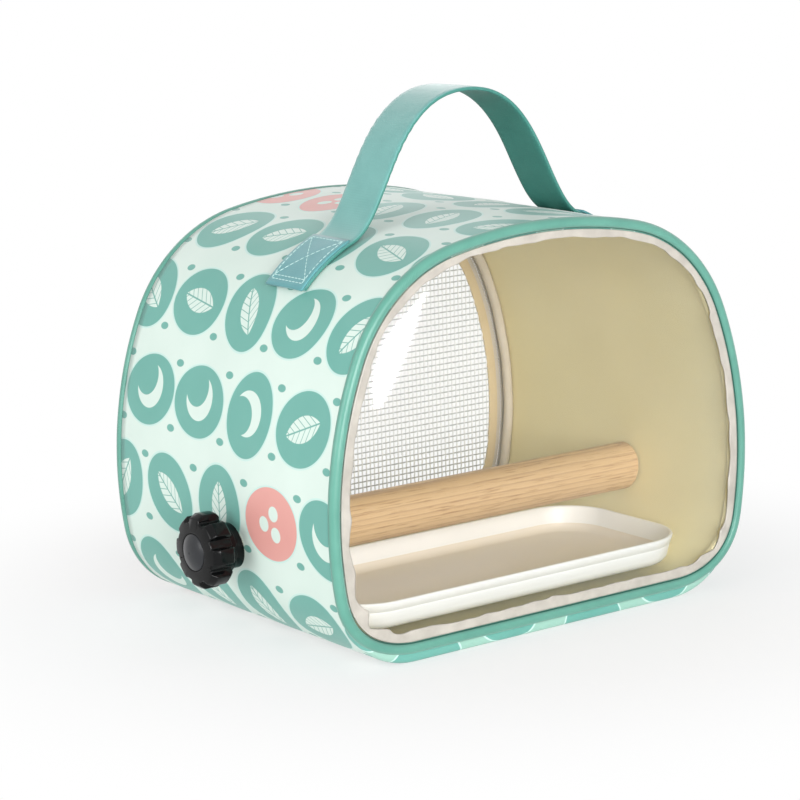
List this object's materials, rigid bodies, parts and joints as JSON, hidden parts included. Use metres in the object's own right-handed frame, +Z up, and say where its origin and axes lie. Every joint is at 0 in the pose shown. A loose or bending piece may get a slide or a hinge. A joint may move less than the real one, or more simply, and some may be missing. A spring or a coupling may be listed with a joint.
{
  "type": "bird travel carrier",
  "caption": "Soft D-shaped travel carrier for a small bird, with a clear front, a zipped mesh door behind, a clamped perch, a loose tray and a webbing handle.",
  "frame": {"origin": "centre of the flat base, on the ground", "axes": "+X to the right over the two knobs, +Y to the mesh door at the back, +Z up"},
  "size_m": [0.2592, 0.162, 0.22],
  "materials": {
    "print_cloth": "coated printed cloth, pale mint with teal ovals",
    "foam": "closed-cell foam",
    "board": "stiffening board",
    "lining": "smooth cream lining",
    "piping": "satin corded piping",
    "clear_pvc": "clear soft sheet",
    "white_tape": "white binding tape",
    "seam_tape": "woven seam tape",
    "beige_cloth": "beige binding cloth",
    "zip_tape": "woven zip tape",
    "zip_coil": "nylon coil",
    "zip_metal": "plated die casting",
    "net": "coated mesh",
    "webbing": "satin flat webbing",
    "patch": "box-stitched reinforcement",
    "wood": "sanded bare wood",
    "brass": "knurled insert",
    "nickel": "nickel plated",
    "black_plastic": "moulded, glossy",
    "stud_steel": "zinc plated",
    "cap_plastic": "moulded, domed",
    "tray_plastic": "moulded, satin"
  },
  "bodies": {
    "bag": {"outer_wrap": "print_cloth", "foam_core": "foam", "floor_board": "board", "inner_lining": "lining", "front_piping": "piping", "back_piping": "piping", "front_window": "clear_pvc", "window_binding": "white_tape", "front_seam_tape": "seam_tape", "back_seam_tape": "seam_tape", "back_sill": "beige_cloth", "zip_tape_bag": "zip_tape", "zip_coil_bag": "zip_coil", "zip_stops": "zip_metal", "handle_end_left": "webbing", "handle_end_right": "webbing", "handle_patch_left": "patch", "handle_patch_right": "patch", "perch": "wood", "perch_insert_left": "brass", "perch_insert_right": "brass", "wall_eyelet_left": "nickel", "wall_eyelet_right": "nickel"},
    "door": {"door_net": "net", "door_binding": "beige_cloth", "zip_tape_door": "zip_tape", "zip_coil_door": "zip_coil"},
    "zip_slider": {"zip_slider": "zip_metal"},
    "zip_pull": {"zip_pull": "zip_metal"},
    "handle": {"handle_loop": "webbing"},
    "tray": {"tray": "tray_plastic"},
    "washer_left": {"knob_washer_left": "black_plastic"},
    "knob_left": {"knob_left": "black_plastic", "knob_stud_left": "stud_steel", "knob_cap_left": "cap_plastic"},
    "washer_right": {"knob_washer_right": "black_plastic"},
    "knob_right": {"knob_right": "black_plastic", "knob_stud_right": "stud_steel", "knob_cap_right": "cap_plastic"}
  },
  "joints": [
    {"name": "door_swing", "type": "hinge", "parent": "bag", "child": "door", "pos_m": [0, 0.0771, 0.0215], "axis": [-1, 0, 0], "range_deg": [0, 94]},
    {"name": "zip_run", "type": "hinge", "parent": "bag", "child": "zip_slider", "pos_m": [0.06957, 0.0771, 0.038], "axis": [0, -1, 0], "range_deg": [0, 33]},
    {"name": "pull_swing", "type": "hinge", "parent": "zip_slider", "child": "zip_pull", "pos_m": [0.08779, 0.0808, 0.01468], "axis": [0.6157, 0, -0.788], "range_deg": [0, 170]},
    {"name": "handle_rock", "type": "hinge", "parent": "bag", "child": "handle", "pos_m": [0, -0.017, 0.176], "axis": [1, 0, 0], "range_deg": [-35, 35], "stiffness_Nm_per_rad": 0.02},
    {"name": "tray_slide", "type": "slide", "parent": "bag", "child": "tray", "axis": [0, 1, 0], "range_m": [-0.008, 0.058]},
    {"name": "knob_travel_left", "type": "slide", "parent": "bag", "child": "washer_left", "axis": [-1, 0, 0], "range_m": [0, 0.01]},
    {"name": "knob_turn_left", "type": "hinge", "parent": "washer_left", "child": "knob_left", "pos_m": [0, -0.008, 0.0415], "axis": [-1, 0, 0], "range_deg": [0, 2881]},
    {"name": "knob_travel_right", "type": "slide", "parent": "bag", "child": "washer_right", "axis": [1, 0, 0], "range_m": [0, 0.01]},
    {"name": "knob_turn_right", "type": "hinge", "parent": "washer_right", "child": "knob_right", "pos_m": [0, -0.008, 0.0415], "axis": [1, 0, 0], "range_deg": [0, 2881]}
  ],
  "couplings": [
    {"joint": "knob_turn_left", "follows": "knob_travel_left", "rad_per_m": 5026.5},
    {"joint": "knob_turn_right", "follows": "knob_travel_right", "rad_per_m": 5026.5}
  ]
}
